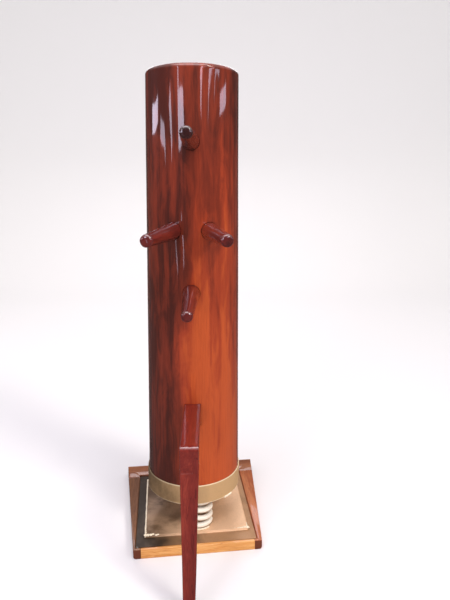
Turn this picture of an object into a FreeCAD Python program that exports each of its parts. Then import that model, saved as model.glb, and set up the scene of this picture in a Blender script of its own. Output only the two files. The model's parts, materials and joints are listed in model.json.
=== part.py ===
"""Wooden wing dummy on a spring base: a lacquered log with three arms, a peg and a bent leg,
standing in a steel cup on three coil springs over a square steel plate with a wooden surround.

Millimetres. +Z is up, the floor is z = 0, the log's axis is x = y = 0 and its front, where the
arms and the leg are, faces -Y. Its right-hand side, seen from the front, is +X.
The base is turned a little about Z against the log, as the log was screwed down by hand."""

import FreeCAD, Part
import math
import os
import re
import Sketcher
from FreeCAD import Placement, Rotation, Vector

doc = FreeCAD.newDocument("wooden_wing_dummy")
sheet = doc.addObject("Spreadsheet::Sheet", "Dimensions")

DIMENSIONS = {
    # the log
    "trunk_radius": 149.8,
    "trunk_top": 1470,
    "trunk_rim_round": 14,
    # the steel cup that holds the log
    "cup_plate_bottom": 128.5,
    "cup_plate_thick": 6,
    "band_bottom": 115.5,
    "band_top": 174.5,
    "band_thick": 3,
    "band_inner_radius": 150,
    "cup_screw_circle": 105,
    "cup_screw_dia": 12,
    "cup_screw_length": 110,
    "cup_screw_head_dia": 24,
    "cup_screw_head_thick": 8,
    # arms and head peg
    "head_peg_height": 1238,
    "arm_height": 970,
    "low_arm_height": 780,
    "arm_root_x": 56.7,
    "arm_splay": 9.4,
    "arm_root_dia": 55,
    "arm_tip_dia": 34,
    "low_arm_tip_dia": 30,
    "arm_reach": 280,
    "arm_tip_edge": 3,
    "seat_depth": 14,
    "seat_gap": 0.4,
    "tenon_side": 22,
    "tenon_lift": 12.5,
    "tenon_tail": 42,
    "mortise_gap": 0.3,
    "pin_dia": 12,
    "pin_length": 60,
    "pin_back_gap": 6,
    # the leg
    "leg_axis_x": 3,
    "leg_height": 401,
    "leg_width": 50,
    "thigh_depth": 70,
    "knee_front": 416,
    "leg_tenon_side": 38,
    "leg_seat_depth": 10,
    "leg_pin_dia": 14,
    "leg_pin_length": 84,
    "shin_top_depth": 46,
    "foot_width": 32,
    "foot_depth": 34,
    "foot_front": 452,
    "foot_height": 40,
    "knee_tenon_width": 16,
    "knee_tenon_depth": 40,
    "knee_tenon_rise": 37,
    "knee_tenon_x": 17,
    "knee_dowel_dia": 8,
    # the coil springs and their seats
    "spring_circle": 103,
    "spring_outer_dia": 92,
    "spring_wire_dia": 17,
    "spring_end_gap": 0.05,
    "spring_flat_turns": 0.3,
    "spring_active_turns": 3.24,
    "spring_front_turn": 10,
    "spring_rear_turn": 140,
    "seat_ring_outer_dia": 54,
    "seat_ring_wall": 5,
    "seat_ring_height": 15,
    # the steel part of the base
    "base_turn": 5.5,
    "spring_plate_side": 317,
    "spring_plate_thick": 6,
    "spring_plate_edge": 2,
    "weld_leg": 4,
    "sheet_top": 24,
    "sheet_thick": 3,
    "sheet_left": 188,
    "sheet_right": 180,
    "sheet_front": 206,
    "sheet_back": 188,
    "sheet_gap": 1.5,
    "sheet_screw_inset": 5,
    "sheet_screw_dia": 4.5,
    "sheet_screw_length": 15,
    "sheet_screw_head_dia": 9,
    "sheet_screw_head_thick": 2.2,
    "ballast_half_width": 164,
    "ballast_front": 196,
    "ballast_back": 172,
    # the wooden surround
    "rail_height": 28,
    "rail_thick": 20,
    "surround_front": 218,
    "surround_back": 255,
    "surround_front_half": 194,
    "surround_back_half": 237,
    "side_rail_inner": 172,
    "side_rail_back_half": 230,
    "back_rail_depth": 79,
    "rail_dowel_dia": 8,
    "rail_dowel_length": 60,
}


def fill_sheet():
    """Each dimension takes one row: its name, its value and the alias that the features use."""
    for row, (name, value) in enumerate(DIMENSIONS.items(), start=1):
        sheet.set(f"A{row}", name)
        sheet.set(f"B{row}", str(value))
        sheet.setAlias(f"B{row}", name)
    doc.recompute()


fill_sheet()


def dim(name):
    """A driving dimension as a plain number."""
    return float(getattr(sheet, name))


def bound(text):
    """A formula in the sheet's aliases, written as an expression on the sheet."""
    return re.sub(
        r"[a-z]\w*",
        lambda word: f"Dimensions.{word.group()}" if word.group() in DIMENSIONS else word.group(),
        text,
    )


def number(text):
    """The value of a short formula: aliases or numbers, halved with /2, added and subtracted."""
    total = 0.0
    sign = 1
    for word in text.replace("+", " + ").replace("-", " - ").split():
        if word in ("+", "-"):
            sign = -1 if word == "-" else 1
            continue
        name, _, divisor = word.partition("/")
        value = dim(name) if name in DIMENSIONS else float(name)
        total += sign * value / float(divisor or 1)
    return total


# ---------------------------------------------------------------- shared helpers


def bind(thing, **formulas):
    """Binds properties of an object to formulas in the sheet's aliases."""
    for name, text in formulas.items():
        thing.setExpression(name, bound(text))
    return thing


def block(name, length, width, height, corner=Vector()):
    box = doc.addObject("Part::Box", name)
    bind(box, Length=length, Width=width, Height=height)
    box.Placement.Base = corner
    return box


def rod(name, radius, height, placement=Placement()):
    cylinder = doc.addObject("Part::Cylinder", name)
    bind(cylinder, Radius=radius, Height=height)
    cylinder.Placement = placement
    return cylinder


def compound(name, pieces):
    group = doc.addObject("Part::Compound", name)
    group.Links = pieces
    return group


def cut(name, base, tools):
    """base with every tool taken out of it."""
    result = doc.addObject("Part::Cut", name)
    result.Base = base
    result.Tool = compound(f"{name}_tools", tools)
    return result


def fused(name, pieces):
    result = doc.addObject("Part::MultiFuse", name)
    result.Shapes = pieces
    return result


def new_body(name):
    return doc.addObject("PartDesign::Body", name)


def sketch_on(body, name, role, lift=0.0):
    """A sketch on one of the body's own origin planes, moved along the plane's normal by lift."""
    sketch = body.newObject("Sketcher::SketchObject", name)
    plane = next(f for f in body.Origin.OriginFeatures if f.Role == role)
    sketch.AttachmentSupport = [(plane, "")]
    sketch.MapMode = "FlatFace"
    sketch.AttachmentOffset = Placement(Vector(0, 0, lift), Rotation())
    return sketch


def place_point(sketch, line, point, axis, text):
    """Holds one coordinate of a line's end at a formula, measured from the sketch's origin."""
    value = number(text)
    if abs(value) < 1e-9:
        along = -2 if axis == "X" else -1
        sketch.addConstraint(Sketcher.Constraint("PointOnObject", line, point, along))
        return
    index = sketch.addConstraint(Sketcher.Constraint(f"Distance{axis}", -1, 1, line, point, value))
    sketch.setExpression(f"Constraints[{index}]", bound(text))


def polygon(sketch, corners):
    """A closed outline of straight lines; each corner is a pair of formulas."""
    points = [Vector(number(x), number(y), 0) for x, y in corners]
    first = sketch.GeometryCount
    for index, point in enumerate(points):
        sketch.addGeometry(Part.LineSegment(point, points[(index + 1) % len(points)]))
    for index, (x, y) in enumerate(corners):
        line = first + index
        following = first + (index + 1) % len(points)
        sketch.addConstraint(Sketcher.Constraint("Coincident", line, 2, following, 1))
        place_point(sketch, line, 1, "X", x)
        place_point(sketch, line, 1, "Y", y)


def rectangle(sketch, left, right, low, high):
    polygon(sketch, [(left, low), (right, low), (right, high), (left, high)])


def circle(sketch, radius, x="0", y="0"):
    at = Vector(number(x), number(y), 0)
    ring = sketch.addGeometry(Part.Circle(at, Vector(0, 0, 1), number(radius)))
    index = sketch.addConstraint(Sketcher.Constraint("Radius", ring, number(radius)))
    sketch.setExpression(f"Constraints[{index}]", bound(radius))
    place_point(sketch, ring, 3, "X", x)
    place_point(sketch, ring, 3, "Y", y)


def pad(body, sketch, length, reverse=False):
    feature = body.newObject("PartDesign::Pad", f"{sketch.Name}_pad")
    feature.Profile = sketch
    feature.Reversed = reverse
    bind(feature, Length=length)
    doc.recompute()
    return feature


def pocket(body, sketch, depth, reverse=False):
    """A pocket that must take something away."""
    before = body.Shape.Volume
    feature = body.newObject("PartDesign::Pocket", f"{sketch.Name}_pocket")
    feature.Profile = sketch
    feature.Reversed = reverse
    bind(feature, Length=depth)
    doc.recompute()
    if body.Shape.Volume > before - 1:
        raise ValueError(f"{feature.Name} cuts nothing")
    return feature


def edge_names(shape, wanted):
    """The names of a shape's edges whose middle passes a test."""
    edges = enumerate(shape.Edges, start=1)
    return [f"Edge{index}" for index, edge in edges if wanted(edge)]


def dress(body, kind, feature, wanted, size):
    """A Fillet or Chamfer along some of a feature's edges."""
    edge = body.newObject(f"PartDesign::{kind}", f"{feature.Name}_{kind.lower()}")
    edge.Base = (feature, edge_names(feature.Shape, wanted))
    bind(edge, **{"Radius" if kind == "Fillet" else "Size": size})
    doc.recompute()
    return edge


# ---------------------------------------------------------------- arms, head peg and their pins

X_AXIS_UP = Rotation(Vector(0, 1, 0), 90)
Y_AXIS_UP = Rotation(Vector(1, 0, 0), -90)

STRAIGHT_CHORD = "2 * trunk_radius - seat_depth"
SPLAYED_CHORD = (
    "2 * sqrt(trunk_radius ^ 2 - (arm_root_x * cos(arm_splay)"
    " - sqrt(trunk_radius ^ 2 - arm_root_x ^ 2) * sin(arm_splay)) ^ 2) - seat_depth"
)


class Arm:
    """One arm or peg: where it enters the log, how it is turned and how its tenon is offset."""

    def __init__(self, name, side, height, lift, tip="arm_tip_dia"):
        self.name = name
        self.side = side
        self.height = height
        self.lift = lift
        self.tip = tip
        self.chord = SPLAYED_CHORD if side else STRAIGHT_CHORD

    def half_chord(self):
        """Half of the arm's line inside the log."""
        radius = dim("trunk_radius")
        if not self.side:
            return radius
        splay = math.radians(dim("arm_splay"))
        x = dim("arm_root_x")
        miss = x * math.cos(splay) - math.sqrt(radius**2 - x**2) * math.sin(splay)
        return math.sqrt(radius**2 - miss**2)

    def placement(self):
        """The arm's own frame: the shoulder's centre, with -Y pointing out along the arm."""
        turn = Rotation(Vector(0, 0, 1), self.side * dim("arm_splay"))
        x = self.side * dim("arm_root_x")
        y = -math.sqrt(dim("trunk_radius") ** 2 - x**2)
        entry = Vector(x, y, dim(self.height))
        return Placement(entry + turn.multVec(Vector(0, dim("seat_depth"), 0)), turn)

    def pin_at(self):
        """The pin's centre along the arm, clear of the furthest part of the log's back."""
        back = self.half_chord() - dim("seat_depth") + dim("trunk_radius")
        return back + dim("pin_back_gap") + dim("pin_dia") / 2


ARMS = [
    Arm("head_peg", 0, "head_peg_height", 0),
    Arm("left_arm", -1, "arm_height", -1),
    Arm("right_arm", 1, "arm_height", 1),
    Arm("lower_arm", 0, "low_arm_height", 0, "low_arm_tip_dia"),
]


def make_arm(arm):
    """A turned, tapered arm with a square tenon that carries the pin behind the log."""
    body = new_body(f"{arm.name}_turned")
    outline = sketch_on(body, f"{arm.name}_outline", "YZ_Plane")
    reach = "- seat_depth - arm_reach"
    polygon(
        outline,
        [
            ("0", "0"),
            ("0", "arm_root_dia/2"),
            (f"{reach} + arm_tip_edge", f"{arm.tip}/2"),
            (reach, f"{arm.tip}/2 - arm_tip_edge"),
            (reach, "0"),
        ],
    )
    turned = body.newObject("PartDesign::Revolution", f"{arm.name}_revolution")
    turned.Profile = outline
    turned.ReferenceAxis = (outline, ["H_Axis"])
    turned.Angle = 360
    doc.recompute()
    tenon = sketch_on(body, f"{arm.name}_tenon", "XZ_Plane")
    lift = {0: "", 1: " + tenon_lift", -1: " - tenon_lift"}[arm.lift]
    half = "tenon_side/2"
    rectangle(tenon, f"- {half}", half, f"- {half}{lift}", f"{half}{lift}")
    pad(body, tenon, f"{arm.chord} + tenon_tail", reverse=True)
    hole = rod(
        f"{arm.name}_pin_hole",
        "pin_dia / 2",
        "pin_length",
        Placement(Vector(-dim("pin_length") / 2, arm.pin_at(), arm.lift * dim("tenon_lift")), X_AXIS_UP),
    )
    piece = cut(arm.name, body, [hole])
    piece.Placement = arm.placement()
    return piece


def make_arm_pin(arm):
    """A round wooden pin across the tenon's tail; it stops the arm from sliding out of the log."""
    pin = rod(f"{arm.name}_pin", "pin_dia / 2", "pin_length")
    local = Vector(-dim("pin_length") / 2, arm.pin_at(), arm.lift * dim("tenon_lift"))
    pin.Placement = arm.placement() * Placement(local, X_AXIS_UP)
    return pin


def arm_openings(arm):
    """The seat for the arm's round root and the square mortise right through the log."""
    seat = rod(f"{arm.name}_seat", "arm_root_dia / 2 + seat_gap", "seat_depth * 3")
    seat.Placement = arm.placement() * Placement(Vector(), Y_AXIS_UP.inverted())
    side = "tenon_side + 2 * mortise_gap"
    mortise = block(f"{arm.name}_mortise", side, f"{arm.chord} + seat_depth", side)
    half = dim("tenon_side") / 2 + dim("mortise_gap")
    corner = Vector(-half, 0, arm.lift * dim("tenon_lift") - half)
    mortise.Placement = arm.placement() * Placement(corner, Rotation())
    return [seat, mortise]


# ---------------------------------------------------------------- the leg


def leg_shoulder():
    return -(dim("trunk_radius") - dim("leg_seat_depth"))


def knee_dowel(name):
    across = Vector(
        dim("leg_axis_x") - dim("leg_width") / 2,
        dim("knee_tenon_depth") / 2 - dim("knee_front"),
        dim("leg_height") - dim("thigh_depth") / 2 + dim("knee_tenon_rise") / 2,
    )
    return rod(name, "knee_dowel_dia / 2", "leg_width", Placement(across, X_AXIS_UP))


def knee_tenon(name):
    corner = Vector(
        dim("leg_axis_x") + dim("knee_tenon_x") - dim("knee_tenon_width") / 2,
        -dim("knee_front"),
        dim("leg_height") - dim("thigh_depth") / 2,
    )
    return block(name, "knee_tenon_width", "knee_tenon_depth", "knee_tenon_rise", corner)


def leg_pin(name):
    start = Vector(
        dim("leg_axis_x") - dim("leg_pin_length") / 2,
        dim("trunk_radius") + dim("pin_back_gap") + dim("leg_pin_dia") / 2,
        dim("leg_height"),
    )
    return rod(name, "leg_pin_dia / 2", "leg_pin_length", Placement(start, X_AXIS_UP))


def make_thigh():
    """The level upper length of the leg: a squared bar with a tenon through the log."""
    bar = block(
        "thigh_bar",
        "leg_width",
        "knee_front - trunk_radius + leg_seat_depth",
        "thigh_depth",
        Vector(
            dim("leg_axis_x") - dim("leg_width") / 2,
            -dim("knee_front"),
            dim("leg_height") - dim("thigh_depth") / 2,
        ),
    )
    half = dim("leg_tenon_side") / 2
    tenon = block(
        "thigh_tenon",
        "leg_tenon_side",
        "2 * trunk_radius - leg_seat_depth + tenon_tail",
        "leg_tenon_side",
        Vector(dim("leg_axis_x") - half, leg_shoulder(), dim("leg_height") - half),
    )
    whole = fused("thigh_whole", [bar, tenon])
    tools = [knee_tenon("knee_mortise"), knee_dowel("thigh_dowel_hole"), leg_pin("thigh_pin_hole")]
    return cut("leg_thigh", whole, tools)


def make_shin():
    """The sloping lower length of the leg, tapered to the foot, with a tenon up into the knee."""
    body = new_body("shin_taper")
    knee_z = dim("leg_height") - dim("thigh_depth") / 2
    top = sketch_on(body, "shin_top", "XY_Plane", knee_z)
    half = "leg_width/2"
    rectangle(
        top,
        f"leg_axis_x - {half}",
        f"leg_axis_x + {half}",
        "- knee_front",
        "shin_top_depth - knee_front",
    )
    foot = sketch_on(body, "shin_foot", "XY_Plane", dim("foot_height"))
    half = "foot_width/2"
    rectangle(
        foot,
        f"leg_axis_x - {half}",
        f"leg_axis_x + {half}",
        "- foot_front",
        "foot_depth - foot_front",
    )
    loft = body.newObject("PartDesign::AdditiveLoft", "shin_loft")
    loft.Profile = top
    loft.Sections = [foot]
    doc.recompute()
    whole = fused("shin_whole", [body, knee_tenon("shin_tenon")])
    return cut("leg_shin", whole, [knee_dowel("shin_dowel_hole")])


def leg_openings():
    """The shallow seat for the thigh and the square mortise right through the log."""
    side = "leg_tenon_side + 2 * mortise_gap"
    half = dim("leg_tenon_side") / 2 + dim("mortise_gap")
    mortise = block(
        "leg_mortise",
        side,
        "2 * trunk_radius",
        side,
        Vector(dim("leg_axis_x") - half, leg_shoulder(), dim("leg_height") - half),
    )
    gap = dim("seat_gap")
    seat = block(
        "leg_seat",
        "leg_width + 2 * seat_gap",
        "leg_seat_depth",
        "thigh_depth + 2 * seat_gap",
        Vector(
            dim("leg_axis_x") - dim("leg_width") / 2 - gap,
            leg_shoulder() - dim("leg_seat_depth"),
            dim("leg_height") - dim("thigh_depth") / 2 - gap,
        ),
    )
    return [mortise, seat]


# ---------------------------------------------------------------- the log and its steel cup

CUP_SCREW_TURNS = (75, 180, -60)


def around(radius, degrees, height):
    """A point on a circle about the log's axis; degrees count from the front towards +X."""
    angle = math.radians(degrees)
    return Vector(radius * math.sin(angle), -radius * math.cos(angle), height)


def make_cup_screws(name):
    """Lag screws up through the cup plate into the log's end grain."""
    screws = []
    for index, turn in enumerate(CUP_SCREW_TURNS, start=1):
        low = around(dim("cup_screw_circle"), turn, dim("cup_plate_bottom"))
        at = Placement(low, Rotation())
        shank = rod(f"{name}_shank_{index}", "cup_screw_dia / 2", "cup_screw_length", at)
        under = Placement(low - Vector(0, 0, dim("cup_screw_head_thick")), Rotation())
        head = rod(f"{name}_head_{index}", "cup_screw_head_dia / 2", "cup_screw_head_thick", under)
        screws.append(fused(f"{name}_{index}", [shank, head]))
    return compound(name, screws)


def make_trunk():
    """The log: a long cylinder with a rounded top, seats and mortises for what it carries."""
    body = new_body("log")
    end = sketch_on(body, "log_end", "XY_Plane", dim("cup_plate_bottom") + dim("cup_plate_thick"))
    circle(end, "trunk_radius")
    length = "trunk_top - cup_plate_bottom - cup_plate_thick"
    log = pad(body, end, length)
    top = dim("trunk_top")
    dress(body, "Fillet", log, lambda edge: edge.CenterOfMass.z > top - 1, "trunk_rim_round")
    tools = [tool for arm in ARMS for tool in arm_openings(arm)]
    return cut("trunk", body, tools + leg_openings() + [make_cup_screws("cup_screw_holes")])


def make_band():
    """The steel band round the foot of the log; its lower edge hangs below the cup plate."""
    body = new_body("steel_band")
    section = sketch_on(body, "band_section", "XY_Plane", dim("band_bottom"))
    circle(section, "band_inner_radius")
    circle(section, "band_inner_radius + band_thick")
    pad(body, section, "band_top - band_bottom")
    return body


def make_cup_plate():
    """The steel disc that the log stands on, welded inside the band."""
    body = new_body("cup_plate")
    section = sketch_on(body, "cup_plate_section", "XY_Plane", dim("cup_plate_bottom"))
    circle(section, "band_inner_radius")
    for turn in CUP_SCREW_TURNS:
        at = around(dim("cup_screw_circle"), turn, 0)
        circle(section, "cup_screw_dia/2 + mortise_gap", f"{at.x:.3f}", f"{at.y:.3f}")
    pad(body, section, "cup_plate_thick")
    return body


# ---------------------------------------------------------------- springs and their seats

SPRINGS = {
    "front_spring": lambda: dim("spring_front_turn"),
    "rear_right_spring": lambda: dim("spring_rear_turn"),
    "rear_left_spring": lambda: -dim("spring_rear_turn"),
}
POINTS_PER_TURN = 25


def spring_foot():
    """The top face of the raised plate, where the springs stand."""
    return dim("sheet_top") + dim("spring_plate_thick")


def make_spring(name, degrees):
    """A left-hand coil spring whose wire lies flat for part of a turn at each end."""
    wire = dim("spring_wire_dia") / 2
    mean = dim("spring_outer_dia") / 2 - wire
    foot = spring_foot() + dim("spring_end_gap") + wire
    height = dim("cup_plate_bottom") - dim("spring_end_gap") - wire - foot
    flat = dim("spring_flat_turns")
    active = dim("spring_active_turns")
    points = []
    for step in range(round((active + 2 * flat) * POINTS_PER_TURN) + 1):
        turn = step / POINTS_PER_TURN
        angle = -2 * math.pi * turn
        opened = min(max(turn - flat, 0), active)
        points.append(Vector(mean * math.cos(angle), mean * math.sin(angle), height * opened / active))
    line = Part.BSplineCurve()
    line.interpolate(points)
    path = Part.Wire([line.toShape()])
    start = line.tangent(line.FirstParameter)[0]
    section = Part.Wire([Part.makeCircle(wire, points[0], start)])
    spring = doc.addObject("Part::Feature", name)
    spring.Shape = path.makePipeShell([section], True, True)
    spring.Placement = Placement(around(dim("spring_circle"), degrees, foot), Rotation())
    return spring


def make_seats(name, low):
    """Short pipes, one inside the end of each spring, that keep the springs in place."""
    rings = []
    for spring, degrees in SPRINGS.items():
        at = Placement(around(dim("spring_circle"), degrees(), low), Rotation())
        outer = rod(f"{name}_{spring}_outer", "seat_ring_outer_dia / 2", "seat_ring_height", at)
        inner = rod(
            f"{name}_{spring}_inner",
            "seat_ring_outer_dia / 2 - seat_ring_wall",
            "seat_ring_height",
            at,
        )
        rings.append(cut(f"{name}_{spring}", outer, [inner]))
    return compound(name, rings)


# ---------------------------------------------------------------- the steel base


def base_placement():
    return Placement(Vector(), Rotation(Vector(0, 0, 1), dim("base_turn")))


def turned_with_base(thing):
    thing.Placement = base_placement()
    return thing


def make_spring_plate():
    """The raised square plate under the springs, with its top edge broken."""
    body = new_body("spring_plate")
    section = sketch_on(body, "spring_plate_section", "XY_Plane", dim("sheet_top"))
    half = "spring_plate_side/2"
    rectangle(section, f"- {half}", half, f"- {half}", half)
    plate = pad(body, section, "spring_plate_thick")
    top = spring_foot()
    dress(body, "Chamfer", plate, lambda edge: edge.CenterOfMass.z > top - 0.1, "spring_plate_edge")
    return turned_with_base(body)


def make_welds():
    """The fillet weld all round the raised plate: a ring of triangular section."""
    body = new_body("plate_welds")
    section = sketch_on(body, "weld_foot", "XY_Plane", dim("sheet_top"))
    low = "- spring_plate_side/2 - weld_leg"
    high = "spring_plate_side/2 + weld_leg"
    rectangle(section, low, high, low, high)
    bead = pad(body, section, "weld_leg")
    bead.TaperAngle = -45
    doc.recompute()
    inside = sketch_on(body, "weld_inside", "XY_Plane", dim("sheet_top") + dim("weld_leg"))
    half = "spring_plate_side/2"
    rectangle(inside, f"- {half}", half, f"- {half}", half)
    pocket(body, inside, "weld_leg")
    return turned_with_base(body)


def sheet_screw_places():
    """Eight screws round the sheet: its corners and the middle of each side."""
    inset = dim("sheet_screw_inset")
    left = inset - dim("sheet_left")
    right = dim("sheet_right") - inset
    front = inset - dim("sheet_front")
    back = dim("sheet_back") - inset
    middle = (left + right) / 2
    centre = (front + back) / 2
    corners = [(left, front), (right, front), (right, back), (left, back)]
    return corners + [(middle, front), (right, centre), (middle, back), (left, centre)]


def make_sheet_screws(name, gap="0"):
    """The sheet's screws, or with a gap the clearance holes that they pass through."""
    screws = []
    for index, (x, y) in enumerate(sheet_screw_places(), start=1):
        top = Vector(x, y, dim("sheet_top"))
        low = top - Vector(0, 0, dim("sheet_screw_length"))
        at = Placement(low, Rotation())
        radius = f"sheet_screw_dia / 2 + {gap}"
        shank = rod(f"{name}_shank_{index}", radius, "sheet_screw_length", at)
        head = doc.addObject("Part::Cone", f"{name}_head_{index}")
        bind(
            head,
            Radius1="sheet_screw_head_dia / 2",
            Radius2="sheet_screw_head_dia / 4",
            Height="sheet_screw_head_thick",
        )
        head.Placement.Base = top
        screws.append(fused(f"{name}_{index}", [shank, head]))
    return compound(name, screws)


def make_base_sheet():
    """The flat steel sheet let into the top of the wooden surround."""
    body = new_body("sheet_blank")
    section = sketch_on(body, "sheet_outline", "XY_Plane", dim("sheet_top") - dim("sheet_thick"))
    rectangle(section, "- sheet_left", "sheet_right", "- sheet_front", "sheet_back")
    pad(body, section, "sheet_thick")
    return turned_with_base(cut("base_sheet", body, [make_sheet_screws("sheet_holes", "mortise_gap")]))


def make_ballast():
    """The thick steel slab under the sheet, inside the surround, that keeps the base down."""
    body = new_body("ballast_plate")
    section = sketch_on(body, "ballast_outline", "XY_Plane")
    half = "ballast_half_width"
    rectangle(section, f"- {half}", half, "- ballast_front", "ballast_back")
    pad(body, section, "sheet_top - sheet_thick")
    return turned_with_base(body)


# ---------------------------------------------------------------- the wooden surround

RAILS = {
    "front_rail": [
        ("- side_rail_inner", "- surround_front"),
        ("side_rail_inner", "- surround_front"),
        ("side_rail_inner", "rail_thick - surround_front"),
        ("- side_rail_inner", "rail_thick - surround_front"),
    ],
    "back_rail": [
        ("- side_rail_back_half", "surround_back - back_rail_depth"),
        ("side_rail_back_half", "surround_back - back_rail_depth"),
        ("surround_back_half", "surround_back"),
        ("- surround_back_half", "surround_back"),
    ],
    "right_rail": [
        ("side_rail_inner", "- surround_front"),
        ("surround_front_half", "- surround_front"),
        ("side_rail_back_half", "surround_back - back_rail_depth"),
        ("side_rail_inner", "surround_back - back_rail_depth"),
    ],
    "left_rail": [
        ("- surround_front_half", "- surround_front"),
        ("- side_rail_inner", "- surround_front"),
        ("- side_rail_inner", "surround_back - back_rail_depth"),
        ("- side_rail_back_half", "surround_back - back_rail_depth"),
    ],
}


def make_rail_dowels(name):
    """Dowels across the four corner joints of the surround."""
    level = (dim("sheet_top") - dim("sheet_thick")) / 2
    half_length = dim("rail_dowel_length") / 2
    dowels = []
    for side in (-1, 1):
        hand = "right" if side > 0 else "left"
        front = Vector(
            side * dim("side_rail_inner") - half_length / 2,
            dim("rail_thick") / 2 - dim("surround_front"),
            level,
        )
        across = Placement(front, X_AXIS_UP)
        short = "rail_dowel_length / 2"
        dowels.append(rod(f"{name}_front_{hand}", "rail_dowel_dia / 2", short, across))
        back = Vector(
            side * (dim("side_rail_inner") + dim("side_rail_back_half")) / 2,
            dim("surround_back") - dim("back_rail_depth") - half_length,
            level,
        )
        along = Placement(back, Y_AXIS_UP)
        dowels.append(rod(f"{name}_back_{hand}", "rail_dowel_dia / 2", "rail_dowel_length", along))
    return compound(name, dowels)


def make_rail(name):
    """One board of the surround, rebated along its top for the sheet and drilled."""
    body = new_body(f"{name}_board")
    outline = sketch_on(body, f"{name}_outline", "XY_Plane")
    polygon(outline, RAILS[name])
    pad(body, outline, "rail_height")
    rebate = sketch_on(body, f"{name}_rebate", "XY_Plane", dim("rail_height"))
    rectangle(
        rebate,
        "- sheet_left - sheet_gap",
        "sheet_right + sheet_gap",
        "- sheet_front - sheet_gap",
        "sheet_back + sheet_gap",
    )
    pocket(body, rebate, "rail_height - sheet_top + sheet_thick")
    holes = [make_rail_dowels(f"{name}_dowel_holes"), make_sheet_screws(f"{name}_screw_holes")]
    return turned_with_base(cut(name, body, holes))


# ---------------------------------------------------------------- all sub-parts


def make_all():
    """Every sub-part, in a list; each one's Label is its node's name."""
    parts = [make_trunk(), make_band(), make_cup_plate(), make_cup_screws("cup_screws")]
    for arm in ARMS:
        parts += [make_arm(arm), make_arm_pin(arm)]
    parts += [make_thigh(), make_shin(), knee_dowel("knee_dowel"), leg_pin("leg_pin")]
    parts += [make_spring(name, degrees()) for name, degrees in SPRINGS.items()]
    parts.append(make_seats("lower_spring_seats", spring_foot()))
    upper = dim("cup_plate_bottom") - dim("seat_ring_height")
    parts.append(make_seats("upper_spring_seats", upper))
    parts += [make_spring_plate(), make_welds(), make_base_sheet(), make_ballast()]
    parts.append(turned_with_base(make_sheet_screws("sheet_screws")))
    parts += [make_rail(name) for name in RAILS]
    parts.append(turned_with_base(make_rail_dowels("rail_dowels")))
    doc.recompute()
    return parts


def check(parts):
    """Stops if any object of the document failed or any sub-part has no sound shape."""
    for thing in doc.Objects:
        if {"Invalid", "Error"} & set(thing.State):
            raise ValueError(f"{thing.Name} is {thing.State}")
    for part in parts:
        if part.Shape.isNull() or not part.Shape.isValid():
            raise ValueError(f"{part.Label} has no sound shape")


def write(parts):
    os.makedirs("parts", exist_ok=True)
    for part in parts:
        part.Shape.exportStep(f"parts/{part.Label}.step")
        solids = len(part.Shape.Solids)
        print(f"{part.Label}: {solids} solid(s), {part.Shape.Volume / 1000:.1f} cm3")


sub_parts = make_all()
check(sub_parts)
write(sub_parts)
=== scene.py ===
"""Wooden wing dummy: a lacquered log with arms, head peg and leg on a sprung steel base."""

import json
import math

import bmesh
import bpy
from mathutils import Matrix, Vector, noise


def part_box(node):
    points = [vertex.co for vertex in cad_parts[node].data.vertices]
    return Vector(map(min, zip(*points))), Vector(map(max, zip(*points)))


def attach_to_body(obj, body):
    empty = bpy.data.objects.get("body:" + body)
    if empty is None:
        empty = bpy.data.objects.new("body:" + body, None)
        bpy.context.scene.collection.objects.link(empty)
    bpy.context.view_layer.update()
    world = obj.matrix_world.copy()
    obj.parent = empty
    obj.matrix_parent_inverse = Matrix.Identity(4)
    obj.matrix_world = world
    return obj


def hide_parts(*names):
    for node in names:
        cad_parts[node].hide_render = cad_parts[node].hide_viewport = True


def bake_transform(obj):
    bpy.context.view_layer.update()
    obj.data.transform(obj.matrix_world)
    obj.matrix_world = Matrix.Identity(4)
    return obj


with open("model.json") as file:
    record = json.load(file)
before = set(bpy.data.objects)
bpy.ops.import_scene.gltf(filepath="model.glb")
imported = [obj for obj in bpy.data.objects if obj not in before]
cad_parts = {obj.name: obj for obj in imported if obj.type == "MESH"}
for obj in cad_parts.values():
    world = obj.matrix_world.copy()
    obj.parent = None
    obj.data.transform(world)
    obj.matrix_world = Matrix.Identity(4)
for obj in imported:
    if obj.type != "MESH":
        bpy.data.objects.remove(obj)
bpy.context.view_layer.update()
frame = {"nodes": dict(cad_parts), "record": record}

RECORD = frame["record"]
BODY = {node: body for body, nodes in RECORD["behaviour"]["bodies"].items() for node in nodes}
JOINT = {joint["name"]: joint for joint in RECORD["behaviour"]["joints"]}
MM = 0.001


# ---------------------------------------------------------------- reading the CAD nodes


def points_of(node):
    """The node's vertices in the row frame."""
    return [vertex.co.copy() for vertex in frame["nodes"][node].data.vertices]


def extent(points):
    """Lowest and highest corner of some points."""
    low = Vector([min(p[i] for p in points) for i in range(3)])
    high = Vector([max(p[i] for p in points) for i in range(3)])
    return low, high


def local_points(node, placement):
    """The node's vertices in a placement's own axes."""
    inverse = placement.inverted()
    return [inverse @ point for point in points_of(node)]


def base_turn():
    """The base's turn about Z, from the front edge of the square plate."""
    points = points_of("spring_plate")
    left = min(points, key=lambda p: p.y)
    right = max(points, key=lambda p: p.x)
    return math.atan2(right.y - left.y, right.x - left.x)


TURN = base_turn()
BASE = Matrix.Rotation(TURN, 4, "Z")


# ---------------------------------------------------------------- materials


def srgb(red, green, blue):
    """A colour given in display values from 0 to 255, as the linear colour that shaders use."""
    parts = []
    for value in (red, green, blue):
        value /= 255
        parts.append(value / 12.92 if value <= 0.04045 else ((value + 0.055) / 1.055) ** 2.4)
    return (*parts, 1.0)


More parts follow.
